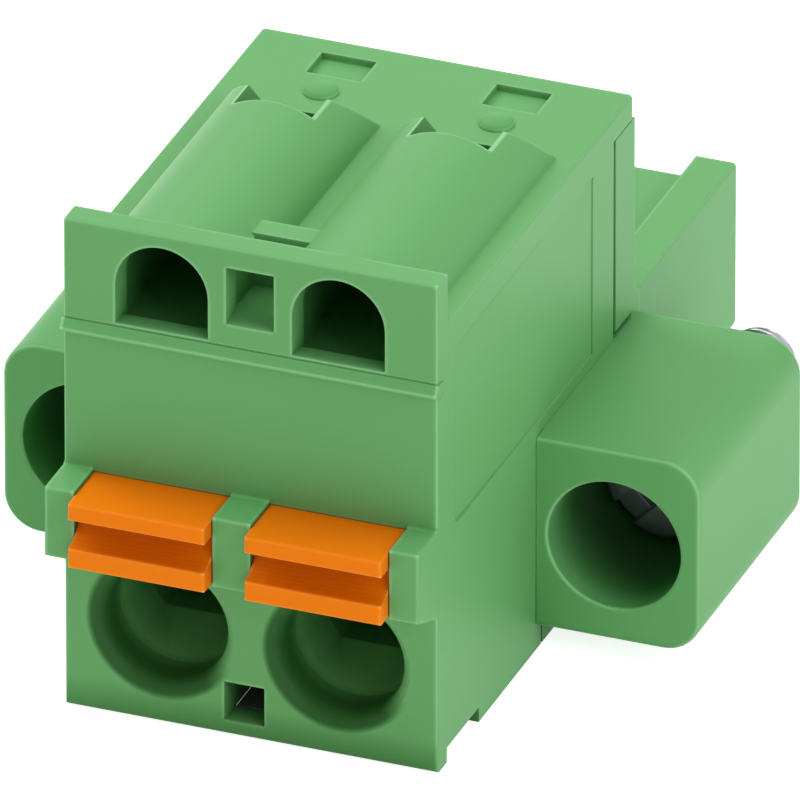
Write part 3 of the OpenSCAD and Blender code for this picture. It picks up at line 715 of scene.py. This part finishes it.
# %% [markdown]
# ### The head and its recess
# The head is turned with a rounded rim. It takes a flat blade or a cross-point driver: a slot runs right
# across it, from lower left to upper right, and a deeper cross lies over the slot. Cutters shaped like
# the driver tips are subtracted from the turned head.

# %% Turned head
HEAD_ROUND, ROUND_STEPS = 0.3 * MM, 5
NECK_SLOPE = 0.3 * MM
OVERLAP = 0.05 * MM


def build_head(bm):
    face_r = HEAD_R - HEAD_ROUND
    profile = [(HEAD_Y, face_r)]
    for i in range(1, ROUND_STEPS + 1):
        a = math.pi / 2 * i / ROUND_STEPS
        profile.append((HEAD_Y + HEAD_ROUND * (1 - math.cos(a)), face_r + HEAD_ROUND * math.sin(a)))
    profile += [
        (SEAT_Y, HEAD_R), (SEAT_Y, THREAD_R), (SHANK_END_Y, THREAD_R),
        (SHANK_END_Y + NECK_SLOPE, NECK_R), (THREAD_Y + OVERLAP, NECK_R),
    ]
    turned(bm, profile, 64)


# %% Cutters for the recess
SLOT_HALF, SLOT_DEPTH = 0.575 * MM, 0.7 * MM
CROSS_ARM, CROSS_DEPTH, ARM_SLOPE = 1.9 * MM, 1.3 * MM, 0.25 * MM
SLOT_TURN = -45


def build_cutter(bm):
    """Driver tips: a slot across the head, and two sloping arms that cross in the middle."""
    bars = (
        (HEAD_R + MM, 0, SLOT_DEPTH, SLOT_TURN),
        (CROSS_ARM, ARM_SLOPE, CROSS_DEPTH, SLOT_TURN),
        (CROSS_ARM, ARM_SLOPE, CROSS_DEPTH, SLOT_TURN + 90),
    )
    for top, slope, depth, turn in bars:
        foot = top - slope
        corners = [
            (-top, HEAD_Y - MM, -SLOT_HALF), (top, HEAD_Y - MM, -SLOT_HALF),
            (foot, HEAD_Y + depth, -SLOT_HALF), (-foot, HEAD_Y + depth, -SLOT_HALF),
        ]
        spin = Matrix.Rotation(math.radians(turn), 3, "Y")
        across = Vector((0, 0, 2 * SLOT_HALF))
        low = [bm.verts.new(spin @ Vector(c)) for c in corners]
        high = [bm.verts.new(spin @ (Vector(c) + across)) for c in corners]
        bm.faces.new(reversed(low))
        bm.faces.new(high)
        wall(bm, low, high)


# %% Cutting
def cut(piece, build):
    """Subtracts a cutter made by build from the piece, for good."""
    bm = bmesh.new()
    build(bm)
    cutter = piece_from("cutter", bm)
    boolean = piece.modifiers.new("recess", "BOOLEAN")
    boolean.operation = "DIFFERENCE"
    boolean.solver = "EXACT"
    boolean.use_self = True
    boolean.object = cutter
    bpy.context.view_layer.update()
    shown = piece.evaluated_get(bpy.context.evaluated_depsgraph_get())
    finished = bpy.data.meshes.new_from_object(shown)
    piece.modifiers.clear()
    piece.data = finished
    bpy.data.objects.remove(cutter)


# %% Screws
def build_screw(name):
    head = mesh_from(name, build_head)
    cut(head, build_cutter)
    thread = mesh_from(name + "_thread", lambda bm: threaded(bm, 40, 8))
    bm = bmesh.new()
    bm.from_mesh(head.data)
    bm.from_mesh(thread.data)
    bm.to_mesh(head.data)
    bm.free()
    bpy.data.objects.remove(thread)
    shade_smooth(head.data, 32)
    head.data.materials.clear()
    head.data.materials.append(zinc_steel)
    return head


for side, x in (("left", -SCREW_X), ("right", SCREW_X)):
    screw = build_screw(f"threaded_screw_{side}")
    screw.data.transform(Matrix.Translation((x, 0, SCREW_Z)))
    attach(screw, f"{side}_screw")
    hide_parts(f"flange_screw_{side}")
    print(screw.name, len(screw.data.polygons), "faces")

# %% [markdown]
# ## Clamp springs
# A clamp spring is a bent steel leaf. Pushing a lever folds its front limb back, which frees the wire. A
# rigid solid can't do that. A copy of each spring, with a mesh of its own, stands in for the CAD spring
# and rides with the housing.

# %% Springs
for side in ("left", "right"):
    node_name, joint_name = f"clamp_spring_{side}", f"lever_{side}_push"
    spring = bpy.data.objects.new(f"bending_spring_{side}", nodes[node_name].data.copy())
    bpy.context.scene.collection.objects.link(spring)
    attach(spring, "housing")
    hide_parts(node_name)
    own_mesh(spring)

# %% [markdown]
# ## Nubs on the flat top
# Behind each bulge a small round nub stands on the top. The CAD part has it as a low button; the
# moulded one is a smooth dome, so a spun quarter ellipse is set over each button. Its place is read
# from the button itself: the highest corner of the housing's mesh near that spot.

# %% Domes
NUB_Y = 2.075 * MM
NUB_R, NUB_H = 0.75 * MM, 0.385 * MM
NUB_FOOT = 0.05 * MM
BUTTON_H = 0.35 * MM
NEAR_NUB = 0.8 * MM


def build_dome(bm):
    """A spun quarter ellipse that stands on the XY plane, its foot a little below it."""
    rings, steps = 10, 40
    turns = [math.pi / 2 * k / rings for k in range(rings)]
    profile = [(NUB_R, -NUB_FOOT)] + [(NUB_R * math.cos(t), NUB_H * math.sin(t)) for t in turns]
    loops = []
    for radius, z in profile:
        corners = [(radius * math.cos(a), radius * math.sin(a), z) for a in full_turn(steps)]
        loops.append([bm.verts.new(corner) for corner in corners])
    for low, high in zip(loops, loops[1:]):
        wall(bm, low, high)
    crown = bm.verts.new((0, 0, NUB_H))
    for i in range(steps):
        bm.faces.new((loops[-1][i], loops[-1][(i + 1) % steps], crown))
    bm.faces.new(reversed(loops[0]))


housing_corners = [v.co for v in nodes["front_housing"].data.vertices]
for side, x in (("left", -ENTRY_X), ("right", ENTRY_X)):
    button = [c for c in housing_corners if abs(c.x - x) < NEAR_NUB and abs(c.y - NUB_Y) < NEAR_NUB]
    button_top = max(c.z for c in button)
    top_face = button_top - BUTTON_H
    dome = mesh_from(f"top_nub_{side}", build_dome)
    dome.data.transform(Matrix.Translation((x, NUB_Y, top_face)))
    shade_smooth(dome.data, 60)
    dome.data.materials.append(green_nylon)
    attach(dome, "housing")
    print(dome.name, "stands at z", round(top_face / MM, 2), "mm,", len(dome.data.polygons), "faces")

# %% [markdown]
# ## Floor and light
# The block stands on a pale floor under an even sky, as in a light tent. Soft lamps at the left and the
# right give the bulges their bright left flank and the side its sheen, and one lamp overhead keeps the
# top lightest; no lamp shines straight on the front, which stays a little darker. The background looks
# white to the camera, in a gloss and through glass, while a weaker sky lights the part's own colours.

# %% Rays that see the white background
def background_rays(tree):
    """1 for rays that show the background: from the camera, in a gloss or through glass; else 0."""
    rays = add_node(tree, "ShaderNodeLightPath")
    direct = reckon(tree, "ADD", rays.outputs["Is Camera Ray"], rays.outputs["Is Glossy Ray"])
    return reckon(tree, "ADD", direct, rays.outputs["Is Transmission Ray"], clamp=True)


# %% Floor
FLOOR_R = 2.5
FLOOR_GAP = 0.02 * MM
floor_mesh = bpy.data.meshes.new("floor")
floor_bm = bmesh.new()
bmesh.ops.create_circle(floor_bm, cap_ends=True, segments=64, radius=FLOOR_R)
floor_bm.to_mesh(floor_mesh)
floor_bm.free()
floor = bpy.data.objects.new("floor", floor_mesh)
floor.location.z = -FLOOR_GAP
bpy.context.scene.collection.objects.link(floor)
print(floor.name, "radius", FLOOR_R, "m,", round(FLOOR_GAP / MM, 2), "mm under the block")

# %% Floor paper
FILL_GLOW, SEEN_GLOW = 0.24, 0.8
floor_paper, floor_tree, floor_shader = new_material("floor_paper")
floor_shader.inputs["Base Color"].default_value = (0.86, 0.86, 0.86, 1)
floor_shader.inputs["Roughness"].default_value = 0.9
floor_shader.inputs["Specular IOR Level"].default_value = 0.1
floor_glow = add_node(floor_tree, "ShaderNodeEmission")
floor_sum = add_node(floor_tree, "ShaderNodeAddShader")
glow_strength = ramp(floor_tree, background_rays(floor_tree), low=FILL_GLOW, high=SEEN_GLOW)
join(floor_tree, glow_strength, floor_glow.inputs["Strength"])
join(floor_tree, floor_shader.outputs["BSDF"], floor_sum.inputs[0])
join(floor_tree, floor_glow.outputs["Emission"], floor_sum.inputs[1])
join(floor_tree, floor_sum.outputs["Shader"], floor_tree.nodes["Material Output"].inputs["Surface"])
floor_mesh.materials.append(floor_paper)

# %% World
SKY_STRENGTH = 0.4
world = bpy.data.worlds.new("light_tent")
bpy.context.scene.world = world
world.use_nodes = True
sky_tree = world.node_tree
sky_tree.nodes.clear()
sky_out = sky_tree.nodes.new("ShaderNodeOutputWorld")
sky = add_node(sky_tree, "ShaderNodeBackground", Color=(1, 1, 1, 1))
sky_level = ramp(sky_tree, background_rays(sky_tree), low=SKY_STRENGTH, high=1.0)
join(sky_tree, sky_level, sky.inputs["Strength"])
join(sky_tree, sky.outputs["Background"], sky_out.inputs["Surface"])
print(world.name, "lights with strength", SKY_STRENGTH)

# %% Lamps
LAMP_DISTANCE, LAMP_SIZE = 0.6, 0.35
LAMP_AIM = Vector((0, 0, 0.01))


def add_softbox(name, azimuth, elevation, watts):
    """A square area lamp that faces the middle of the part."""
    data = bpy.data.lights.new(name, "AREA")
    data.shape = "SQUARE"
    data.size = LAMP_SIZE
    data.energy = watts
    lamp = bpy.data.objects.new(name, data)
    bpy.context.scene.collection.objects.link(lamp)
    direction = spot_on_sphere(math.radians(azimuth), math.radians(elevation))
    lamp.location = LAMP_AIM + direction * LAMP_DISTANCE
    lamp.rotation_euler = direction.to_track_quat("Z", "Y").to_euler()
    print(name, "at", [round(v, 2) for v in lamp.location], watts, "W")


add_softbox("left_softbox", -99, 48, 1.6)
add_softbox("right_softbox", 62, 30, 1.15)
add_softbox("top_softbox", 20, 88, 1.0)
add_softbox("back_left_softbox", -159, 34, 0.35)
add_softbox("back_right_softbox", 141, 48, 0.3)

# %% [markdown]
# ## Colours as they are
# The Standard view shows each colour as it was set, so pure white stays pure white in the picture.

# %% Output settings
bpy.context.scene.view_settings.view_transform = "Standard"
print("view transform:", bpy.context.scene.view_settings.view_transform)
